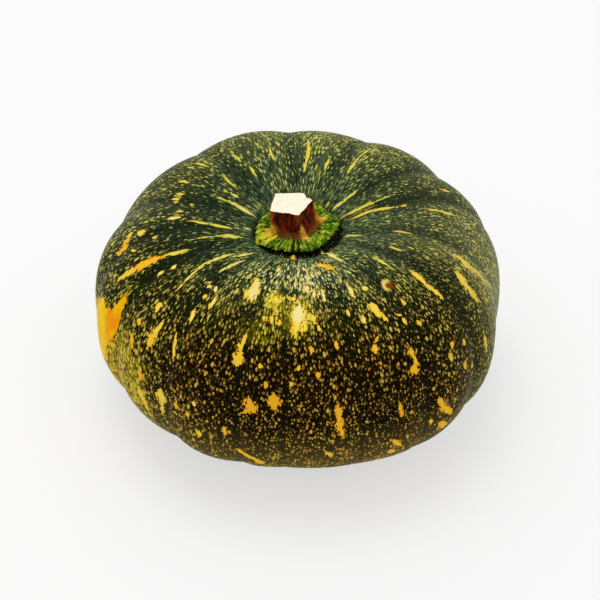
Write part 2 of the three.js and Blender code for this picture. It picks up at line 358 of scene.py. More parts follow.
# Streaks and blotches: the bearing and the way up the rind of one end, and then of the other, half
# the width in millimetres, and the tint: 0 is pale, 1 is yellow and 2 is orange.
MARKS = [
    # the front
    (-22, 82, -20.7, 64.5, 1.4, 0.7),
    (-21.5, 80, -17.6, 65, 1.6, 0.4),
    (-21.3, 74, -19.2, 64.5, 2.0, 0.3),
    (-22.3, 72, -22.2, 64.5, 1.0, 0.9),
    (-9.6, 70, -9.4, 65.5, 1.0, 0.9),
    (-7.4, 68.5, -7.5, 66, 0.7, 1.0),
    (-6, 71, -6, 68.5, 0.6, 0.9),
    (-11.8, 67.5, -11.9, 65, 0.7, 0.8),
    (-13.5, 71, -13.5, 69, 0.6, 0.8),
    (-10.8, 73.5, -10.8, 72, 0.6, 0.8),
    (-9.6, 59, -9.5, 55, 1.0, 1.1),
    (-12.2, 58.5, -12.2, 55.5, 0.8, 0.9),
    (-6.6, 57.5, -6.8, 54.5, 0.8, 1.3),
    (-8, 62.5, -8, 60.5, 0.6, 1.0),
    (0.1, 67.5, -0.1, 54, 3.3, 0.1),
    (-0.4, 62, -1.0, 48.5, 2.1, 0.9),
    (-3.2, 71.5, -1.4, 68.5, 1.3, 1.0),
    (5.5, 60, 5.4, 56, 1.2, 1.0),
    (7, 55, 7.2, 51, 0.9, 1.0),
    (2.6, 56, 2.4, 52, 0.9, 0.9),
    (-17.2, 50, -17.9, 38, 0.9, 1.1),
    (-18, 41, -17.8, 32.5, 2.3, 1.2),
    (-19.4, 43.6, -17.8, 42, 0.8, 1.1),
    (-13.4, 21, -12.3, 12.5, 2.8, 1.9),
    (-12.8, 14.5, -15.9, 10.8, 1.0, 1.9),
    (-6.9, 23.5, -6, 15, 3.3, 1.9),
    (10.3, 18.8, 11, 9.5, 1.6, 1.7),
    (10.5, 12, 11, 2.5, 1.7, 1.7),
    (11, 6, 12, -1.8, 1.1, 1.6),
    (23.3, 41.5, 23, 37, 1.3, 1.3),
    (25.5, 44.5, 24.2, 42.8, 0.9, 1.8),
    (27.6, 60, 28, 52, 1.7, 0.9),
    (28.2, 54, 29.8, 49, 1.2, 1.0),
    (23.5, 74, 23, 64, 1.0, 0.4),
    (11.2, 74, 11, 65, 0.9, 0.2),
    (7.2, 75, 7.2, 68, 0.8, 0.2),
    (4.4, 78, 4.4, 72, 0.8, 0.2),
    (18.7, 60.5, 18.8, 57, 0.9, 0.8),
    (22.6, 55, 22.8, 51, 1.0, 0.6),
    (33.3, 36, 33.5, 29.5, 2.0, 1.7),
    (33.9, 31, 34, 26, 0.9, 1.6),
    (32.8, 28, 33, 23, 2.7, 1.7),
    (27.1, 13, 27.9, 5, 1.0, 1.9),
    (25.2, -7.5, 29, -16, 1.9, 1.5),
    (25.8, -16, 26.6, -21, 1.9, 1.5),
    (6.7, -7.5, 9.2, -14.5, 1.2, 1.4),
    (-16.8, -12, -15.8, -14.6, 1.8, 1.3),
    (-15.2, -13, -14, -16.4, 2.2, 1.4),
    (-13.4, -14.4, -12.2, -18.6, 2.2, 1.4),
    (-11.6, -16.5, -10, -24, 2.0, 1.4),
    (-28.3, 12.5, -28.2, 9.5, 1.0, 0.6),
    (-27.2, -4, -27.1, -8.5, 1.1, 1.0),
    (-34.3, 7, -34.3, 3, 1.4, 1.7),
    (-30.5, 5, -30.3, 1.5, 1.0, 1.4),
    (-20, 1.5, -19.9, -4.5, 0.8, 1.3),
    (-32.8, 61.5, -32.6, 54, 1.0, 0.5),
    (5.5, 34, 5.6, 30.5, 1.0, 1.8),
    (4, 45.5, 4, 41.5, 0.9, 1.9),
    (12, 46.5, 11.9, 42.5, 1.0, 1.5),
    (-11, 36.8, -11, 34.4, 0.9, 1.2),
    (0.2, 37, 0.2, 34, 0.8, 1.3),
    (-2, 29.5, -2, 26.5, 0.8, 1.3),
    (-8.9, 29, -9, 26, 0.8, 1.8),
    # the left
    (-64, 74, -66.4, 60, 1.0, 0.8),
    (-66.4, 62, -69.3, 43.5, 2.1, 1.75),
    (-68.7, 47, -71.3, 35, 1.4, 1.2),
    (-45.4, 41, -46.2, 29, 1.3, 0.9),
    (-45.6, 36, -46.8, 25, 1.9, 1.3),
    (-39.6, 38.5, -37, 25, 1.0, 0.9),
    (-38, 52.5, -36.5, 45, 1.1, 0.6),
    (-49.6, 46.5, -49.6, 41, 1.2, 0.8),
    (-58.8, 63.5, -58.7, 60, 1.2, 0.6),
    (-60.4, 57, -60.4, 53, 1.0, 0.4),
    (-49.8, 73, -47.8, 53.5, 0.6, 0.6),
    (-36.6, 66.5, -34.6, 62.6, 1.0, 0.2),
    (-39.3, 66.5, -39.3, 63.5, 1.0, 0.5),
    (-37.6, 60.5, -37.4, 57.5, 1.1, 1.0),
    (-54.2, 27, -52.6, 18.5, 1.3, 1.8),
    (-53.4, 34.5, -53, 30.5, 1.4, 1.6),
    (-48.2, 15, -47.6, 6.5, 1.6, 1.7),
    (-49.4, 4, -45.4, -9.5, 1.9, 1.0),
    (-40.2, 8, -40, -1, 2.7, 0.8),
    (-40, 1.5, -40.2, -8.5, 1.2, 0.9),
    (-85.5, 48, -85.4, 43.5, 1.6, 1.8),
    (-82.8, 46.5, -82.7, 41, 1.6, 1.9),
    (-82, 41, -84, 38, 1.4, 1.9),
    (-85.2, 56.5, -85.1, 51.5, 1.7, 0.8),
    (-89, 73, -88.8, 67, 1.3, 0.4),
    (-76.5, 50.5, -78.5, 47.5, 1.1, 0.8),
    (-79, 61.5, -79.2, 59, 1.2, 0.8),
    (-87.3, 49.5, -87.2, 46.5, 1.0, 0.9),
    # the right
    (46.9, 82, 46, 69.5, 0.9, 0.8),
    (51.4, 64.5, 51.2, 52, 1.6, 0.9),
    (51.2, 54, 52.4, 45, 1.3, 1.0),
    (64.9, 49.5, 63.8, 38, 2.0, 0.8),
    (63.7, 41.5, 63.8, 31.5, 1.5, 1.1),
    (73.6, 52.5, 72.4, 41, 2.5, 0.8),
    (73.8, 43, 75.3, 30, 2.0, 0.9),
    (75.4, 32, 81, 19, 1.6, 1.1),
    (33, 50.3, 35.3, 49.3, 0.8, 1.2),
    (35.5, 47.5, 35.5, 44.5, 0.9, 0.8),
    (38.7, 55, 38.7, 51.5, 1.0, 0.9),
    (39.3, 44, 39.3, 41, 0.9, 1.5),
    (39.4, 7, 41.6, -3, 1.6, 1.6),
    (41, -0.5, 44.4, -9, 2.1, 1.6),
    (41.2, -9.5, 44, -18.5, 2.1, 1.5),
    (37.5, -5, 37.6, -9, 1.0, 1.2),
    (50, 16, 50, 11.5, 1.2, 1.7),
    (44.8, 24.5, 44.9, 20, 1.0, 1.4),
    (46.6, 28.5, 46.8, 26, 1.1, 1.4),
    (61.2, 17, 61.4, 8, 1.2, 1.0),
    (54, 10.5, 54.1, 6.5, 1.1, 1.2),
    (51.5, 25.5, 51.6, 22, 0.9, 1.3),
    (60.8, 80, 60.2, 73.5, 0.7, 0.9),
    (29, 68.5, 29, 65.5, 1.1, 0.6),
    (79.6, 84, 77, 73, 0.8, 1.3),
    (95.8, 70, 94.4, 50, 0.9, 0.9),
    (110.5, 55, 110.5, 49.5, 1.0, 1.4),
    # round the stem, going round from the back
    (-165, 82.5, -165, 74, 0.6, 0.9),
    (-149, 88.5, -149.4, 81.5, 0.6, 1.0),
    (-147.5, 76.5, -147.3, 69.5, 0.6, 0.9),
    (-130.4, 89.5, -131.9, 79, 0.7, 0.9),
    (-132.6, 69, -132.5, 60, 0.8, 0.9),
    (-123, 89, -123, 85.5, 0.7, 0.9),
    (-124.5, 94, -124.5, 91, 0.6, 0.4),
    (-118.5, 68.5, -118.4, 62, 0.9, 0.9),
    (-116, 107, -116.4, 92, 1.0, 0.5),
    (-116, 94, -115, 83.5, 0.55, 0.9),
    (-110.3, 71.5, -110.4, 65.5, 0.7, 0.9),
    (-106.8, 69, -106.8, 65, 0.8, 0.9),
    (-104, 69, -103.8, 67, 0.9, 0.9),
    (-102.8, 78, -103, 75, 0.8, 0.9),
    (-94.5, 74.5, -94.3, 70.5, 0.8, 0.9),
    (-88.8, 73, -88.8, 66.5, 0.8, 0.5),
    (-91, 108, -87.5, 102.5, 0.6, 0.2),
    (-84, 98, -84.8, 86, 0.8, 0.8),
    (-84.6, 88, -86.6, 76.5, 0.7, 0.9),
    (-70.7, 102, -71.2, 89, 1.3, 0.8),
    (-71, 90, -70, 77, 0.4, 0.7),
    (-49.3, 90, -50.3, 69, 0.8, 0.7),
    (-44.4, 100, -45.6, 88, 0.7, 0.3),
    (-39.9, 92, -41.7, 72, 0.6, 0.3),
    (-14, 94, -14, 88, 0.7, 0.1),
    (-7, 112.5, -6.8, 109, 1.0, 1.4),
    (36, 112, 34.5, 103, 0.8, 0.2),
    (34.8, 105, 33.4, 96, 1.7, 0.1),
    (32.4, 98, 33.2, 89.5, 1.1, 0.1),
    (16.5, 99, 20.2, 92.5, 1.5, 1.3),
    (20, 95, 23, 86, 1.6, 1.9),
    (77, 108.5, 73.4, 97, 0.8, 0.4),
    (103.6, 103, 104, 91, 0.9, 1.2),
    (103.4, 93, 99.4, 82, 1.2, 0.9),
    (99.3, 79.5, 99.2, 76, 0.7, 1.2),
    (112.4, 107, 110.4, 87, 0.9, 0.9),
    (110.3, 88, 110, 79.5, 0.4, 0.8),
    (132, 107.5, 130.4, 99, 0.7, 0.5),
    (130.6, 101, 130.3, 90, 0.6, 0.6),
    (142.5, 107.5, 142.4, 104, 0.6, 0.8),
    (145.3, 86.5, 147, 75.5, 0.8, 0.9),
    (147, 76.5, 147, 63, 0.4, 0.7),
    (161.6, 87.5, 161.5, 79.5, 0.6, 0.9),
    (175.6, 90.5, 174.6, 80, 0.6, 0.9),
    (174.2, 83.5, 174.8, 70.5, 1.1, 1.0),
    (174.9, 72, 175.3, 66, 0.4, 0.8),
]

# Broad tones, each a soft oval: its bearing and way up the rind, its half width in degrees and half
# height in millimetres, and its strength. First come the patch that the squash lay on and where it
# is orange, and then where the dark ground is yellower, and where it is browner and darker: the
# rind's own brown there, and painted shade over the front.
GROUND_PATCH = [
    (-70, 14, 6, 12, 1.0),
    (-71, -1, 3.6, 12, 0.85),
    (-64.2, 31, 1.7, 8, 0.9),
    (-65, 19, 3, 7, 0.5),
    (-79, 3, 8, 16, 0.8),
]
PATCH_ORANGE = [
    (-65, 20, 3.5, 17, 0.8),
    (-68, -10, 7, 6, 0.6),
    (-58, 0, 7, 20, 0.9),
]
YELLOWING = [
    (-4, 62, 13, 10, 0.45),
    (-14, 49, 9, 7, 0.5),
    (1, 60, 4.5, 10, 0.7),
    (-9.5, 67, 4.5, 6, 0.9),
    (-46, 26, 9, 20, 0.15),
    (-30, 2, 12, 16, 0.1),
    (-61, 0, 8, 22, 1.5),
    (-52, 6, 6, 16, 0.5),
    (-63, -20, 14, 18, 1.6),
    (70, 40, 8, 14, 0.25),
]
WARMING_AND_SHADE = [
    (0, 20, 56, 40, 1.4),
    (6, -30, 56, 34, 1.0),
]

# Where there are more specks, or fewer, where they are bold and pale, where they are finer, or
# coarser, and where the skin is paler and greyer, which is painted sheen on the sides and at the
# back of the crown.
COVER = [
    (4, 84, 34, 15, 0.5),
    (-58, 64, 15, 18, -0.25),
    (-125, 84, 26, 18, -0.25),
    (102, 74, 18, 18, -0.2),
    (90, 90, 14, 8, 0.4),
    (14, 96, 34, 10, 0.5),
    (20, 80, 12, 8, 0.4),
    (160, 62, 26, 16, 0.15),
    (110, 58, 16, 18, -0.45),
    (77, 24, 10, 22, 0.3),
    (-86, 72, 36, 24, -0.5),
    (-46, 58, 14, 16, -0.15),
    (-46, 22, 12, 22, 0.25),
    (4, 22, 42, 16, -0.15),
    (8, -34, 60, 20, 0.6),
    (88, 10, 18, 50, 0.3),
    (100, 92, 50, 26, -0.2),
]
BOLD = [
    (-1, 82, 27, 15, 1.2),
    (10, 98, 30, 10, 0.6),
    (-90, 60, 26, 26, 0.5),
    (100, 66, 30, 22, 0.3),
    (-44, 34, 18, 24, 0.15),
    (40, 44, 26, 22, 0.3),
    (8, -34, 60, 18, 0.7),
    (86, 20, 14, 46, 0.4),
]
FINE = [
    (72, 76, 26, 22, 1.0),
    (72, 30, 16, 20, 0.5),
    (178, 72, 44, 20, -0.6),
]
SIDE_SHEEN = [
    (85, 14, 18, 42, 1.0),
    (78, 8, 12, 22, 0.4),
    (72, 80, 24, 14, 0.15),
    (118, 42, 18, 20, 0.2),
    (178, 62, 60, 26, 0.35),
    (-100, 44, 16, 16, 0.25),
    (-112, 20, 14, 24, 0.4),
]

SCAR_BEARING = 38.4  # of the one small brown scar, on the right
SCAR_WAY = 63.8
SCAR_HALF_WIDTH = 2.1
SCAR_HALF_HEIGHT = 2.7
BLOSSOM_SCAR_RADIUS = 5.5  # of the cork where the flower fell off, underneath
CLEAR_OF_SCAR = 5.0  # so many times its size, beyond which it makes no difference
CREVICE_SHADE_CENTRE = (0.0, -0.4)  # of the painted shade in the crevice round the stem's foot
CREVICE_SHADE_RADIUS = 18.8
CREVICE_SHADE_WIDTH = 3.1
CREVICE_SHADE_NARROWING = 1.1  # how much narrower it is from front to back
GROOVE_SHADE_WIDTH = 2.2  # of the painted shade, a darker green, along each groove
GROOVE_SHADE_WIDENING = 2.0  # by how much it is wider on the crown
GROOVE_SHADE_WAYS = (35.0, 70.0)  # between which it widens
GROOVE_SHADE_FULL = 5 / 7  # of the ribs' full height, from where it is at full strength

HIDDEN_MARKS = 110  # on the back and underneath
HIDDEN_BELOW = ((75, 100, 125, 180), (-24, 0, 38, 66))  # degrees from the front, and their limits
HIDDEN_WAYS = (-105, 62)
HIDDEN_LENGTHS = (3, 13)
HIDDEN_LEAN = 1.5
HIDDEN_HALF_WIDTHS = (0.6, 1.9)
HIDDEN_TINTS = (0.6, 1.9)
MARK_SEED = 11
FAR_OUTSIDE = -6.0  # the depth of a point that lies in no mark
MARK_BORDER = (-2.2, -1.4)  # the depths over which a mark's torn edge is let in
MARK_SOFTNESS = 0.35
TEAR_SHARE = 0.4  # of its half width, by which the edge is torn
LEAST_TEAR = 0.15
FRINGE_START = 0.625  # of the way to the middle, from where the fringe grows outwards
FRINGE_TINT = 0.95  # added at the edge of a pale mark
YELLOW_FRINGE_TINT = 0.4  # and of a yellow one


def hidden_marks():
    """More streaks like the others, where the squash is turned away."""
    chance = random.Random(MARK_SEED)
    marks = []
    while len(marks) < HIDDEN_MARKS:
        place = chance.uniform(-180, 180)
        low = chance.uniform(*HIDDEN_WAYS)
        length = chance.uniform(*HIDDEN_LENGTHS)
        if low + length > np.interp(abs(place), *HIDDEN_BELOW):
            continue
        lean = chance.uniform(-HIDDEN_LEAN, HIDDEN_LEAN)
        half_width = chance.uniform(*HIDDEN_HALF_WIDTHS)
        tint = chance.uniform(*HIDDEN_TINTS)
        marks.append((place, low + length, place + lean, low, half_width, tint))
    return marks


def degrees_apart(a, b):
    """How far round bearing a is from b, -180 to 180."""
    return turned(a - b, -180)


def nearest_marks(marks):
    """For each point of the skin, where it lies in the mark that covers it most: across and along
    it, both -1 to 1 inside, and the mark's half width. And then the mark's tint and how many
    millimetres inside its edge the point is."""
    where = np.zeros((len(bearing), 3))
    look = np.zeros((len(bearing), 3))
    look[:, 1] = FAR_OUTSIDE
    for bearing_a, way_a, bearing_b, way_b, half_width, tint in marks:
        middle = (way_a + way_b) / 2
        half_length = abs(way_a - way_b) / 2
        course = np.clip((way - way_a) / (way_b - way_a), 0, 1)
        side = degrees_apart(bearing, bearing_a + (bearing_b - bearing_a) * course)
        across = side * np.radians(radius) / half_width
        along = (way - middle) / half_length
        depth = (1 - along**2 - np.abs(across)) * half_width
        deeper = depth > look[:, 1]
        where[deeper, 0] = across[deeper]
        where[deeper, 1] = along[deeper]
        where[deeper, 2] = half_width
        look[deeper, 0] = tint
        look[deeper, 1] = depth[deeper]
    return where, look


def soft_ovals(ovals):
    """The strength of a tone at each point of the skin."""
    total = np.zeros(len(bearing))
    for place, up, half_width, half_height, strength in ovals:
        offset = degrees_apart(bearing, place) / half_width
        total += strength * bell(np.hypot(offset, (way - up) / half_height))
    return total


stretch = GRAIN_AT_GIRTH + (GRAIN_AT_STEM - GRAIN_AT_GIRTH) * ramp(np.abs(outline_way), *GRAIN_WAYS)
grain_way = np.concatenate([[0], np.cumsum(np.diff(outline_way) / stretch[1:])])
grain_way -= np.interp(0, outline_way, grain_way)
grain_height = np.interp(way, outline_way, grain_way)
grain_height *= 1 + np.cos(turn - np.radians(TIGHT_BEARING)) * TIGHTENING
grain_turn = turn + np.sin(turn - np.radians(TIGHT_BEARING)) * TIGHTENING
mark_place, mark_look = nearest_marks(MARKS + hidden_marks())
keep_on_points(fruit, "grain", round_points(BODY_RADIUS, grain_turn, grain_height))
keep_on_points(fruit, "mark_place", mark_place)
keep_on_points(fruit, "mark_look", mark_look)

groove_width = GROOVE_SHADE_WIDTH + GROOVE_SHADE_WIDENING * ramp(way, *GROOVE_SHADE_WAYS)
groove_shade_and_sparseness = bell(groove_gap / groove_width) * ramp(share, 0, GROOVE_SHADE_FULL)
ring_x = skin[:, 0] - CREVICE_SHADE_CENTRE[0]
ring_y = (skin[:, 1] - CREVICE_SHADE_CENTRE[1]) * CREVICE_SHADE_NARROWING
crevice_shade_ring = bell((np.hypot(ring_x, ring_y) - CREVICE_SHADE_RADIUS) / CREVICE_SHADE_WIDTH) * (way > 0)
scar_across = degrees_apart(bearing, SCAR_BEARING) * np.radians(radius) / SCAR_HALF_WIDTH
scar_along = (way - SCAR_WAY) / SCAR_HALF_HEIGHT
scar_gap = np.clip(np.hypot(scar_across, scar_along), 0, CLEAR_OF_SCAR)
scar_side = np.clip(scar_along - scar_across, -CLEAR_OF_SCAR, CLEAR_OF_SCAR) / 2
blossom_gap = np.clip(radius / BLOSSOM_SCAR_RADIUS, 0, CLEAR_OF_SCAR)
blossom_gap = np.where(way < 0, blossom_gap, CLEAR_OF_SCAR)
nothing = np.zeros(len(bearing))
point_values = {
    "place": [way, groove_shade_and_sparseness, crevice_shade_ring],
    "tones": [soft_ovals(YELLOWING), soft_ovals(WARMING_AND_SHADE), soft_ovals(SIDE_SHEEN)],
    "patches": [soft_ovals(GROUND_PATCH), soft_ovals(PATCH_ORANGE), nothing],
    "speckling": [soft_ovals(COVER), soft_ovals(BOLD), soft_ovals(FINE)],
    "scars": [scar_gap, scar_side, blossom_gap],
}
for name, values in point_values.items():
    keep_on_points(fruit, name, np.stack(values, axis=1))


def maths(operation, kind="ShaderNodeMath"):
    """A method of a wire that adds a node for some maths on it."""

    def method(wire, *others):
        return wire.node(kind, {"operation": operation}, dict(enumerate((wire, *others))))

    return method


MIX_START, MIX_END, MIX_RESULT = 6, 7, 2  # the numbers of the Mix node's sockets for colours


class Wire:
    """A socket of a material's nodes. Python's operators on it add Math nodes."""

    __add__ = __radd__ = maths("ADD")
    __sub__ = maths("SUBTRACT")
    __mul__ = __rmul__ = maths("MULTIPLY")
    __truediv__ = maths("DIVIDE")
    size = maths("ABSOLUTE")
    most = maths("MAXIMUM")
    scaled = maths("MULTIPLY", "ShaderNodeVectorMath")  # by another vector
    moved = maths("ADD", "ShaderNodeVectorMath")

    def __init__(self, socket):
        self.socket = socket

    def __rsub__(self, other):
        return self * -1 + other

    def node(self, kind, settings, sockets, output=0):
        """Adds a node: its type, its settings, and the values or wires of its sockets."""
        return add_node(self.socket.id_data, kind, settings, sockets, output)

    def held(self):
        """Kept between 0 and 1."""
        return self.node("ShaderNodeClamp", {}, {"Value": self})

    def ramp(self, start, end):
        """0 at start and before it, 1 at end and beyond it, and even between them."""
        return ((self - start) / (end - start)).held()

    def step(self, low, high):
        """0 below low, 1 above high and smooth between them."""
        sockets = {"Value": self, "From Min": low, "From Max": high}
        return self.node("ShaderNodeMapRange", {"interpolation_type": "SMOOTHSTEP"}, sockets)

    def parts(self):
        """The three numbers of a vector."""
        return [self.node("ShaderNodeSeparateXYZ", {}, {0: self}, i) for i in range(3)]

    def between(self, start, end):
        """Two colours mixed: the first where this is 0 and the second where it is 1."""
        sockets = {0: self, MIX_START: start, MIX_END: end}
        return self.node("ShaderNodeMix", {"data_type": "RGBA"}, sockets, MIX_RESULT)

    def cloud(self, spread, detail=2.0, output=0):
        """Noise over this place: a number, 0 to 1, or a colour, that changes over a spread."""
        sockets = {"Vector": self, "Scale": 1 / spread, "Detail": detail}
        return self.node("ShaderNodeTexNoise", {}, sockets, output)

    def sway(self, spread, detail, width):
        """Noise about 0, within half this width of it on either side."""
        return (self.cloud(spread, detail) - 0.5) * width

    def cells(self, spread, output):
        """Random points a spread apart: the way to the nearest, or that point's own colour."""
        sockets = {"Vector": self, "Scale": 1 / spread}
        return self.node("ShaderNodeTexVoronoi", {}, sockets, output)


def add_node(tree, kind, settings, sockets, output=0):
    """Adds a node to a tree, as Wire.node does."""
    made = tree.nodes.new(kind)
    for name, value in settings.items():
        setattr(made, name, value)
    for name, value in sockets.items():
        if isinstance(value, Wire):
            tree.links.new(value.socket, made.inputs[name])
        else:
            made.inputs[name].default_value = value
    return Wire(made.outputs[output])


def new_material(name, finish):
    """A material with its shader node, which has the values of its finish."""
    material = bpy.data.materials.new(name)
    material.use_nodes = True
    shader = material.node_tree.nodes["Principled BSDF"]
    for socket_name, value in finish.items():
        shader.inputs[socket_name].default_value = value
    return material, material.node_tree, shader


def link_look(tree, shader, colour, relief, relief_size):
    """Gives a shader its colour, and a fine relief of some metres and some strength."""
    distance, strength = relief_size
    sockets = {"Height": relief, "Distance": distance, "Strength": strength}
    bump = add_node(tree, "ShaderNodeBump", {}, sockets)
    tree.links.new(colour.socket, shader.inputs["Base Color"])
    tree.links.new(bump.socket, shader.inputs["Normal"])


def attribute(tree, name):
    """The vector that keep_on_points stored."""
    return add_node(tree, "ShaderNodeAttribute", {"attribute_name": name}, {}, "Vector")


def specks(place, kind, amount):
    """Dots of one kind, of which each has its own size. The amount makes them larger or smaller.
    Gives the dots, and three random numbers for each."""
    spread, reach, softness = kind
    gap = place.cells(spread, "Distance")
    chance = place.cells(spread, "Color").parts()
    smallest, growth = SPECK_SIZES
    own_reach = amount * reach * (chance[0] * growth + smallest)
    return ((own_reach - gap) / softness + 0.5).held(), chance


def mark_mask(place, look, torn):
    """Where a mark covers the skin, and its tint there. Its outline is a pointed oval, torn by some
    millimetres, and it is yellower towards its edge."""
    across, along, half_width = place.parts()
    tint, rough_depth, _ = look.parts()
    depth = ((1 - along * along - across.size()) * half_width).most(rough_depth)
    inside = depth + torn * (half_width * TEAR_SHARE + LEAST_TEAR)
    near = rough_depth.step(*MARK_BORDER)
    fringe = 1 - (depth / half_width).ramp(0, FRINGE_START)
    fringe_tint = FRINGE_TINT - tint.held() * (FRINGE_TINT - YELLOW_FRINGE_TINT)
    return (inside / MARK_SOFTNESS + 0.5).held() * near, tint + fringe * fringe_tint


def rind_material():
    material, tree, shader = new_material("rind", RIND_FINISH)
    grain = attribute(tree, "grain")
    way, groove, crevice_shade = attribute(tree, "place").parts()
    yellowing, warmth_and_shade, side_sheen = attribute(tree, "tones").parts()
    patch_field, orange, _ = attribute(tree, "patches").parts()
    cover, bold, fine = attribute(tree, "speckling").parts()
    scar_gap, scar_side, blossom_gap = attribute(tree, "scars").parts()
    crown = way.ramp(*CROWN_WAYS)
    crown_reflection = way.ramp(*CROWN_REFLECTION_WAYS)
    bounce_light_share = way.ramp(*BOUNCE_LIGHT_WAYS)
    warm_and_shaded = warmth_and_shade.held()
    yellowed = (yellowing * 0.9).held()

    # the dark ground of the skin, with painted light and shade laid into it
    patchy = grain.cloud(9.0, 3.0)
    mottle = grain.cloud(1.7).step(0.4, 0.68)
    skin = crown.between(*GROUND)
    # painted reflection of the light from above: a bluish haze on the crown near the stem
    skin = (crown_reflection * (1 + cover)).held().between(skin, mottle.between(*CROWN_REFLECTION))
    # browner and darker at the front: the rind's own brown, and painted shade
    skin = warm_and_shaded.between(skin, WARM_GROUND_AND_SHADE)
    # painted light bounced up from the table, paler towards the bottom
    skin = (bounce_light_share * 0.65).between(skin, BOUNCE_LIGHT)
    # painted sheen: paler and greyer on the sides and at the back of the crown
    skin = (side_sheen * (mottle * 0.5 + 0.5)).held().between(skin, PAINTED_SIDE_SHEEN)
    # painted shade along the grooves, stronger on the crown
    skin = (groove * (crown * 0.4 + 0.25)).between(skin, GROOVE_SHADE)
    # painted shade, near black, in the crevice round the stem's foot
    shade = (crevice_shade + (patchy - 0.5) * 0.5 + grain.sway(1.4, 2.0, 0.5)).step(0.4, 0.62)
    skin = shade.between(skin, PAINTED_CREVICE_SHADE)
    lit = (yellowing * 1.6 - 0.4).held() * (patchy * 0.4 + grain.cloud(1.2)).step(0.62, 0.84)
    lit_tone = warm_and_shaded.between(orange.held().between(*GROUND_YELLOWS), GROUND_OLIVE)
    skin = (lit * 0.85).between(skin, lit_tone)

    # the specks: round ones up to the crown and slender ones on it, over small faint ones
    wear = grain.cloud(0.8, 1.0, "Color").moved([-0.5] * 3).scaled([SPECK_WEAR] * 3)
    worn = grain.moved(wear)
    amount = 1 + grain.sway(24.0, 2.0, 0.6) + yellowing.held() * 0.4
    amount = amount - groove * (crown * 0.2 + 0.3) + cover * 0.5 - crevice_shade * 0.6
    slender_place = worn.scaled(SLENDER_SHAPE)
    bold_place = worn.scaled(BOLD_SHAPE).moved(BOLD_SHIFT)
    small, small_chance = specks(worn.moved(SMALL_SHIFT), SMALL_SPECKS, amount)
    large, large_chance = specks(worn, LARGE_SPECKS, amount - fine * 0.1)
    slender, slender_chance = specks(slender_place, SLENDER_SPECKS, amount - fine * 0.25)
    bold_dots, bold_chance = specks(bold_place, BOLD_SPECKS, bold)
    flecks, _ = specks(worn.moved(FLECK_SHIFT), FLECKS, amount)

    faint_tone = warm_and_shaded.between(crown.between(*FAINT), FAINT_WARM)
    faint_tone = fine.held().between(faint_tone, FAINT_FINE)
    faint_tone = yellowed.between(faint_tone, orange.held().between(*FAINT_YELLOWS))
    faint = small * (small_chance[1] * 0.85 + 0.05) * (1 - bold * 0.35 - warm_and_shaded * 0.2).held()
    skin = faint.between(skin, faint_tone)

    edge = yellowed.between(warm_and_shaded.between(*EDGE), EDGE_YELLOW)
    # the specks near the stem are paler and bluer with the same painted reflection
    speck = (crown_reflection.step(0.6, 1) * 0.6).between(crown.between(*SPECK), SPECK_REFLECTION)
    speck = bold.held().between(speck, SPECK_PALE)
    speck = warm_and_shaded.between(speck, SPECK_WARM)
    speck = (large_chance[1].step(0.7, 0.9) * warm_and_shaded).between(speck, SPECK_TAWNY)
    golden = orange.held().between(*SPECK_YELLOWS)
    speck = (yellowing.held() * 0.85).between(speck, golden)
    low_down = large * (large_chance[2] * 0.6 + 0.4) * (1 - crown.step(0.4, 0.85))
    high_up = slender * (slender_chance[2] * 0.7 + 0.3) * crown.step(0.15, 0.6)
    main = low_down.most(high_up)
    skin = main.between(skin, main.step(0.2, 0.8).between(edge, speck))
    bold_speck = bold_chance[1].step(0.5, 0.6).between(speck, SPECK_GREEN)
    skin = (bold_dots * (bold_chance[2] * 0.4 + 0.6)).between(skin, bold_speck)
    fleck_tone = (0.7 * warm_and_shaded + 0.1).between(crown.between(*FLECK), FLECK_WARM)
    skin = (flecks * 0.9).between(skin, fleck_tone)

    # the ground patch, and then the streaks, which are paler in their middle
    frayed = grain.sway(4.0, 4.0, 1.2) + grain.sway(1.2, 2.0, 0.8)
    patch = (patch_field + frayed).step(0.46, 0.62)
    amber = ((grain.cloud(5.0, 3.0) - 0.45) * 3 + orange - 0.1).held()
    skin = (patch * 0.97).between(skin, amber.between(*PATCH))
    torn = grain.sway(1.1, 3.0, 6) + grain.sway(2.8, 2.0, 3)
    streak, tint = mark_mask(attribute(tree, "mark_place"), attribute(tree, "mark_look"), torn)
    greener = crown.step(0.3, 0.8) * (1 - bold).held()
    streak_tone = tint.held().between(STREAK_PALE, greener.between(*STREAK))
    streak_tone = (tint - 1).held().between(streak_tone, STREAK_ORANGE)
    # the streaks are greyer under the painted sheen, and where the specks are finer
    streak_tone = (side_sheen * 0.9 + fine * 0.3).held().between(streak_tone, STREAK_FADED_AND_SHEEN)
    skin = (streak * 0.95).between(skin, streak_tone)

    # the scar, with its rim on one side, and the cork of the blossom end
    rim = 1 - (scar_gap + torn * 0.2).step(0.9, 1.6)
    rim = rim * (scar_side + torn * 0.1).step(-0.4, 0.1)
    core = 1 - (scar_gap + scar_side * 0.5 + torn * 0.15).step(0.5, 0.95)
    cork = 1 - (blossom_gap + torn * 0.12).step(0.75, 1.15)
    skin = rim.between(skin, SCAR_RIM)
    skin = core.between(skin, (patchy * 1.6 - 0.4).held().between(*SCAR))
    skin = cork.between(skin, patchy.between(*BLOSSOM))

    roughness = RIND_ROUGHNESS + (small + main) * SPECK_ROUGHNESS
    tree.links.new(roughness.socket, shader.inputs["Roughness"])
    relief = main * 0.5 + small * 0.25 + streak * 0.6 + grain.cloud(0.9) * 0.5
    link_look(tree, shader, skin, relief, RIND_RELIEF)
    return material


fruit.data.materials.append(rind_material())
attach(fruit, "root")
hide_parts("fruit")

# ---- The stem ------------------------
# The stub of the dry stalk, grown in one with the fruit: five-angled brown cork with a pale,
# fibrous cut end, on a green pleated foot that spreads in the hollow. It is a sphere whose rings
# are moved to the rings of that stub.

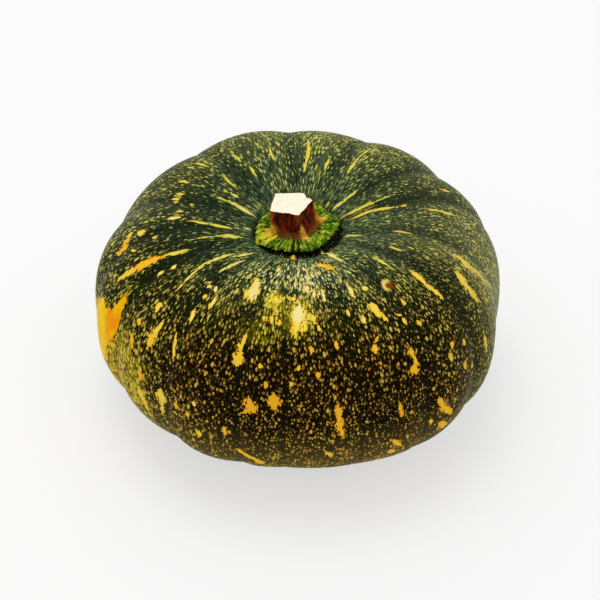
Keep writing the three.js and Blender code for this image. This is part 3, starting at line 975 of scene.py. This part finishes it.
HOLLOW_FLOOR = GIRTH_HEIGHT + outline_height[-1]
FOOT_CLEARANCE = 0.45  # between the underside of the foot and the rind
STEM_OFFSET = (-1.0, 0.0)
STEM_LEAN = (-2.3, 1.2)  # how far the cut end stands over from the foot
RIM_HEIGHT = 5.6  # of the foot's widest ring, above the floor of the hollow
CUT_HEIGHT = 17.85
CUT_FLATNESS = 0.95  # 1 has flat sides between the corners, and 0 is round
FOOT_FLATNESS = 0.6

# The five angles, by bearing, and then their distance from the stem's axis at the cut and the foot.
CORNERS = np.array([-139.0, -64.0, 24.0, 108.0, 147.0])
FOOT_CORNERS = np.array([-133.0, -58.0, 22.0, 98.0, 147.0])
CUT_REACH = np.array([11.4, 11.1, 9.0, 10.6, 10.7])
FOOT_REACH = np.array([19.6, 22.6, 19.4, 21.6, 20.8])

# Rings from the middle of the underside to the middle of the cut: the share of the foot's outline
# against the cut's, that outline's size, the height above the hollow's floor, and 1 where the ring
# lies along the hollow instead.
STEM_PROFILE = [
    (1, 0, 0, 1),
    (1, 0.4, 0, 1),
    (1, 0.84, 0, 1),
    (1, 0.9, 3.2, 0),
    (1, 0.98, 4.6, 0),
    (1, 1, 5.6, 0),
    (1, 0.97, 6.5, 0),
    (1, 0.88, 6.9, 0),
    (0.7, 0.88, 6.5, 0),
    (0.4, 0.95, 6.1, 0),
    (0.15, 1.05, 6.4, 0),
    (0.05, 1.1, 7.4, 0),
    (0, 1.09, 9, 0),
    (0, 1.03, 12, 0),
    (0, 1, 15, 0),
    (0, 1, 17.6, 0),
    (0, 0.975, 17.85, 0),
    (0, 0.8, 17.8, 0),
    (0, 0.4, 17.6, 0),
    (0, 0, 17.55, 0),
]
# How much of the mesh lies between each ring and the next.
RING_WEIGHTS = [4, 5, 4, 2, 1.5, 1.5, 2, 3, 3, 2, 2, 2.5, 3, 3, 2.6, 1.2, 2, 4, 4]
FOOT_STARTS = 3  # the ring where the pleats begin, and the last one that has them
FOOT_ENDS = 10
STUB_STARTS = (10, 11.5)  # the rings over which the bark's relief begins, and ends
STUB_ENDS = (16.5, 15.5)
CUT_STARTS = (15.4, 15.8)

PLEATS = 46
PLEAT_DEPTH = 1.3
PLEAT_SHARPNESS = 0.7  # below 1 has wide backs and narrow creases
PLEAT_STRAYS = [(4, 3), (2.2, 11)]  # by how many radians they stray, and how often
PLEAT_FADE = 1.5  # rings
EXTRA_PLEATS = 8  # for which there are heights too, as the strays can add pleats
PLEAT_DROP = 1.2  # by which the lowest pleat is lower than the highest
KNOB_SPREAD = 1.9
KNOB_HEIGHT = 1.0
KNOB_BULGE = 0.7  # outwards, on the side of the foot
FOOT_SIDE_TOP = 6.5  # and how high that side goes
COARSE_SPREAD = 3.5
FINE_SPREAD = 1.1
BARK_STRETCH = 0.4  # the bark's relief is drawn out upwards
BARK_COARSE = 0.45
BARK_FINE = 0.3
BUTTRESS_WIDTH = 8.0  # degrees, of the ridges that run out from the stub's corners over the foot
BUTTRESS_RISE = 1.8
BUTTRESS_REACH = 1.2
BUTTRESS_RINGS = (8, 2)  # the ring where they rise the most, and over how many rings
WAIST_DEPTH = 0.7  # of the dip where the stub stands on the foot
WAIST_COARSE = 0.5
WAIST_RINGS = 2.2
NOTCH_BEARING = 128.0  # of the chip in the rim of the cut
NOTCH_WIDTH = 8.0
NOTCH_DEPTH = 0.1  # of the way in to the axis
NOTCH_LEVELS = (13, 17)  # the heights over which it comes in
CUT_SINK = 0.12  # how far the rough cut is sunk, and then its relief
CUT_COARSE = 0.12
CUT_FINE = 0.1

# Where the foot is yellower: its bearing, half width in degrees and strength.
FOOT_YELLOW = [(-64, 20, 0.5), (-14, 16, 0.45), (28, 18, -0.3), (70, 20, 0.2), (125, 26, -0.5)]
YELLOW_LEVEL = 0.55
FOOT_SHARES = (0.1, 1)  # the shares of the foot's outline between which its green comes in
YELLOW_BY_PLEAT = 1.3  # the lowest pleats are greener by this
STEM_SEED = 4
STEM_SEGMENTS = 80
STEM_RINGS = 52

BARK = paint(30, 1, 0), paint(132, 42, 5)
BARK_STAIN = paint(58, 9, 0)
# painted highlight along the stub's corners
CORNER_HIGHLIGHT = paint(196, 104, 26)
OCHRE = paint(176, 88, 8), paint(250, 206, 76)
FOOT = paint(60, 112, 8), paint(152, 182, 24)
FOOT_GOLD = paint(240, 216, 50)
# yellow tips of the foot's knobs, and painted highlights on them
FOOT_TIPS_AND_HIGHLIGHTS = paint(226, 224, 66)
# painted shade in the creases between the foot's pleats
FOOT_CREASE_SHADE = paint(20, 42, 2)
FOOT_RIDGES = paint(244, 212, 88)
CUT = paint(255, 252, 238), paint(244, 236, 204)
CUT_FIBRES = paint(222, 196, 130)
CUT_STAIN = paint(250, 214, 110)
CORK_FINISH = {"Roughness": 0.75, "Specular IOR Level": 0.08}
CORK_RELIEF = (0.0006, 0.6)
FIBRE_STRETCH = 0.22  # below 1 draws the bark's stripes out upwards


def corner_outline(bearing, corners, reach, flatness):
    """Distance from the axis to an outline with five corners, whose sides are nearly straight."""
    place = turned(bearing, corners[0])
    index = np.clip(np.searchsorted(corners, place, side="right") - 1, 0, len(corners) - 1)
    after = (index + 1) % len(corners)
    span = np.radians(turned(corners[after] - corners[index], 0))
    past = np.radians(place - corners[index])
    a, b = reach[index], reach[after]
    straight = a * b * np.sin(span) / (a * np.sin(past) + b * np.sin(span - past))
    rounded = a + (b - a) * past / span
    return rounded + (straight - rounded) * flatness


stem = fine_sphere("stem_cork", STEM_SEGMENTS, STEM_RINGS)
stem_bearing, ring_share = bearing_and_rise(read_points(stem))
stem_turn = np.radians(stem_bearing)
ring_places = np.concatenate([[0], np.cumsum(RING_WEIGHTS)]) / sum(RING_WEIGHTS)
ring = np.interp(ring_share, ring_places, np.arange(len(STEM_PROFILE)))
flare, size, level, seated = [
    np.interp(ring, np.arange(len(STEM_PROFILE)), column) for column in zip(*STEM_PROFILE)
]

around = np.stack([np.cos(stem_turn), np.sin(stem_turn), np.zeros(len(stem_turn))], axis=1)
phase = PLEATS * stem_turn
for stray, pace in PLEAT_STRAYS:
    phase = phase + stray * lumps(around * pace, 1.0)
pleat = np.abs(np.cos(phase / 2)) ** PLEAT_SHARPNESS
pleat_random = random.Random(STEM_SEED)
pleat_drops = np.array([pleat_random.random() for _ in range(PLEATS + EXTRA_PLEATS)])
own_drop = pleat_drops[np.round(phase / (2 * math.pi)).astype(int) % len(pleat_drops)]
corner_gap = np.abs(degrees_apart(stem_bearing[:, None], CORNERS[None, :])).min(axis=1)
buttress = bell(corner_gap / BUTTRESS_WIDTH)
on_foot = ramp(np.minimum(ring - FOOT_STARTS, FOOT_ENDS - ring), 0, PLEAT_FADE)
on_stub = ramp(ring, *STUB_STARTS) * ramp(ring, *STUB_ENDS)
on_waist = bell((ring - FOOT_ENDS) / WAIST_RINGS)
on_cut = ramp(ring, *CUT_STARTS)

cut_reach = corner_outline(stem_bearing, CORNERS, CUT_REACH, CUT_FLATNESS)
foot_reach = corner_outline(stem_bearing, FOOT_CORNERS, FOOT_REACH, FOOT_FLATNESS)
reach = size * (cut_reach + (foot_reach - cut_reach) * flare)
plain_points = round_points(reach, stem_turn, level)
knobs = lumps(plain_points, KNOB_SPREAD)
coarse = lumps(plain_points * (1, 1, BARK_STRETCH), COARSE_SPREAD)
fine = lumps(plain_points * (1, 1, BARK_STRETCH), FINE_SPREAD)
notch = bell(degrees_apart(stem_bearing, NOTCH_BEARING) / NOTCH_WIDTH) * ramp(level, *NOTCH_LEVELS)
on_side = on_foot * np.clip(FOOT_SIDE_TOP - level, 0, 1)
crease = PLEAT_DEPTH * (1 - pleat)
reach *= 1 - NOTCH_DEPTH * notch
reach += on_stub * (BARK_COARSE * coarse + BARK_FINE * fine)
reach += on_waist * (BUTTRESS_REACH * buttress - WAIST_DEPTH + WAIST_COARSE * coarse)
reach -= on_side * (crease + KNOB_BULGE * knobs)
reach = np.maximum(reach, 0)
level = level - on_foot * (crease + PLEAT_DROP * own_drop - KNOB_HEIGHT * knobs)
level += BUTTRESS_RISE * buttress * bell((ring - BUTTRESS_RINGS[0]) / BUTTRESS_RINGS[1])
level -= on_cut * (CUT_SINK + CUT_COARSE * coarse + CUT_FINE * fine)

up = ramp(level, RIM_HEIGHT, CUT_HEIGHT)
stem_points = round_points(reach, stem_turn, HOLLOW_FLOOR + level)
for axis in (0, 1):
    stem_points[:, axis] += STEM_OFFSET[axis] + STEM_LEAN[axis] * up
hollow_r = outline_radius[outline_way > 0][::-1]
hollow_z = outline_height[outline_way > 0][::-1]
out = np.hypot(stem_points[:, 0], stem_points[:, 1])
resting = GIRTH_HEIGHT + np.interp(out, hollow_r, hollow_z) + FOOT_CLEARANCE
stem_points[:, 2] = resting * seated + stem_points[:, 2] * (1 - seated)
write_points(stem, stem_points)
bpy.ops.object.shade_smooth()

yellow = YELLOW_LEVEL - own_drop * YELLOW_BY_PLEAT
for place, half_width, strength in FOOT_YELLOW:
    yellow += strength * bell(degrees_apart(stem_bearing, place) / half_width)
yellow = np.clip(yellow, 0, 1)
keep_on_points(stem, "zones", np.stack([on_cut, up, ramp(flare, *FOOT_SHARES)], axis=1))
keep_on_points(stem, "pleats", np.stack([pleat * on_foot, yellow, buttress], axis=1))


def cork_material():
    material, tree, shader = new_material("cork", CORK_FINISH)
    place = add_node(tree, "ShaderNodeTexCoord", {}, {}, "Object").scaled([1 / MM] * 3)
    cut, up, foot = attribute(tree, "zones").parts()
    pleat, yellow, corner = attribute(tree, "pleats").parts()
    stripes = place.scaled((1, 1, FIBRE_STRETCH)).cloud(1.3, 3.0)
    blotches = place.cloud(3.5, 3.0)
    grit = place.cloud(0.8)
    mottle = blotches - 0.5

    # the brown bark, with painted highlights along the corners, and paler at the bottom
    bark = ((stripes - 0.38) * 3.4).held().between(*BARK)
    bark = (mottle * 5).held().between(bark, BARK_STAIN)
    bark = (corner * stripes.step(0.35, 0.6) * 0.7).between(bark, CORNER_HIGHLIGHT)
    rag = mottle * 0.5 + (stripes - 0.5) * 0.35
    low = 1 - (up + rag - corner * 0.3).step(0.0, 0.3)
    ochre = (blotches * 0.9 + grit * 1.4 - 0.8).step(0, 0.6).between(*OCHRE)
    bark = (low * (corner * 1.2 + 0.12)).held().between(bark, ochre)

    # the green foot, with painted shade between its pleats, yellow tips and painted highlights on
    # its knobs, and yellow where the bark runs out over it
    green = (yellow + mottle * 1.2).held().between(*FOOT)
    gold = (yellow + mottle * 1.6).step(0.45, 0.95)
    green = (gold * 0.9).between(green, FOOT_GOLD)
    # yellow tips and painted highlights, scattered over the foot
    tips_and_highlights = (blotches * 0.7 + grit * 1.3 - 1).step(0.0, 0.22)
    green = (tips_and_highlights * 0.75).between(green, FOOT_TIPS_AND_HIGHLIGHTS)
    # painted shade between the pleats
    foot_crease_shade = (pleat + mottle * 0.8 + (grit - 0.5) * 0.7).step(0.2, 0.8)
    green = foot_crease_shade.between(FOOT_CREASE_SHADE, green)
    ridge = (corner * 1.3 - foot * 1.1 + rag * 1.4).step(0.1, 0.7)
    green = (ridge * 0.9).between(green, FOOT_RIDGES)
    colour = (foot - corner * 0.25 + rag * 0.6).step(0.06, 0.42).between(bark, green)

    # the pale cut
    flesh = blotches.between(*CUT)
    flesh = (stripes.step(0.62, 0.8) * 0.5).between(flesh, CUT_FIBRES)
    flesh = ((grit + blotches - 1).step(0.05, 0.3) * 0.5).between(flesh, CUT_STAIN)
    colour = cut.step(0.3, 0.8).between(colour, flesh)
    link_look(tree, shader, colour, stripes + place.cloud(0.5) * 0.6, CORK_RELIEF)
    return material


stem.data.materials.append(cork_material())
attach(stem, "root")
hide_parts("stem")

# ---- The floor and the light ---------
# A plain white table in a soft, white, evenly lit room, with one large lamp overhead.

FLOOR_SIZE = 12
FLOOR_FINISH = {"Base Color": (0.9, 0.9, 0.9, 1), "Roughness": 0.9}
FLOOR_LIFT = 0.6  # how much of the table's shade is taken off where the camera sees it
ROOM_STRENGTH = 0.7
BACKGROUND_STRENGTH = 1.0  # where it is seen, and not only lights the squash
LAMP_PLACE = (-0.15, 0.25, 1.3)
LAMP_AIM = Vector((0, 0, 0.05))
LAMP_SIZE = 0.9
LAMP_POWER = 6.4


def turn_towards(thing, aim):
    """Turns a lamp or a camera to shine or look at a place."""
    thing.rotation_euler = (aim - thing.location).to_track_quat("-Z", "Y").to_euler()


bpy.ops.object.select_all(action="DESELECT")
bpy.ops.mesh.primitive_plane_add(size=FLOOR_SIZE, location=(0, 0, cad_box[0].z))
floor = bpy.context.object
floor.name = "floor"
floor_material, floor_tree, floor_shader = new_material("white_table", FLOOR_FINISH)
glow = add_node(floor_tree, "ShaderNodeEmission", {}, {"Strength": 1.0})
camera_ray = add_node(floor_tree, "ShaderNodeLightPath", {}, {}, "Is Camera Ray")
lift_sockets = {0: camera_ray * FLOOR_LIFT, 1: Wire(floor_shader.outputs[0]), 2: glow}
lifted = add_node(floor_tree, "ShaderNodeMixShader", {}, lift_sockets)
floor_tree.links.new(lifted.socket, floor_tree.nodes["Material Output"].inputs["Surface"])
floor.data.materials.append(floor_material)

scene = bpy.context.scene
world = bpy.data.worlds.new("room")
world.use_nodes = True
scene.world = world
room = world.node_tree
background = room.nodes["Background"]
seen = add_node(room, "ShaderNodeLightPath", {}, {}, "Is Camera Ray")
for ray_name in ("Is Glossy Ray", "Is Transmission Ray"):
    seen = seen.most(add_node(room, "ShaderNodeLightPath", {}, {}, ray_name))
strength = seen * (BACKGROUND_STRENGTH - ROOM_STRENGTH) + ROOM_STRENGTH
room.links.new(strength.socket, background.inputs["Strength"])
background.inputs["Color"].default_value = (1, 1, 1, 1)

bpy.ops.object.light_add(type="AREA", location=LAMP_PLACE)
lamp = bpy.context.object
lamp.data.shape = "DISK"
lamp.data.size = LAMP_SIZE
lamp.data.energy = LAMP_POWER
turn_towards(lamp, LAMP_AIM)

# ---- The camera ----------------------
# It looks down on the front of the squash from 0.9 m, as a person at a table does.

CAMERA_DISTANCE = 0.9
CAMERA_ELEVATION = math.radians(40)
CAMERA_LENS = 110.9  # millimetres, like the sensor's width
CAMERA_SENSOR = 36
CAMERA_AIM = Vector((0.0009, 0, 0.0473))

bpy.ops.object.camera_add()
camera = bpy.context.object
camera.location = (
    0,
    -CAMERA_DISTANCE * math.cos(CAMERA_ELEVATION),
    GIRTH_HEIGHT * MM + CAMERA_DISTANCE * math.sin(CAMERA_ELEVATION),
)
turn_towards(camera, CAMERA_AIM)
camera.data.lens = CAMERA_LENS
camera.data.sensor_width = CAMERA_SENSOR
scene.camera = camera
scene.view_settings.view_transform = "Standard"
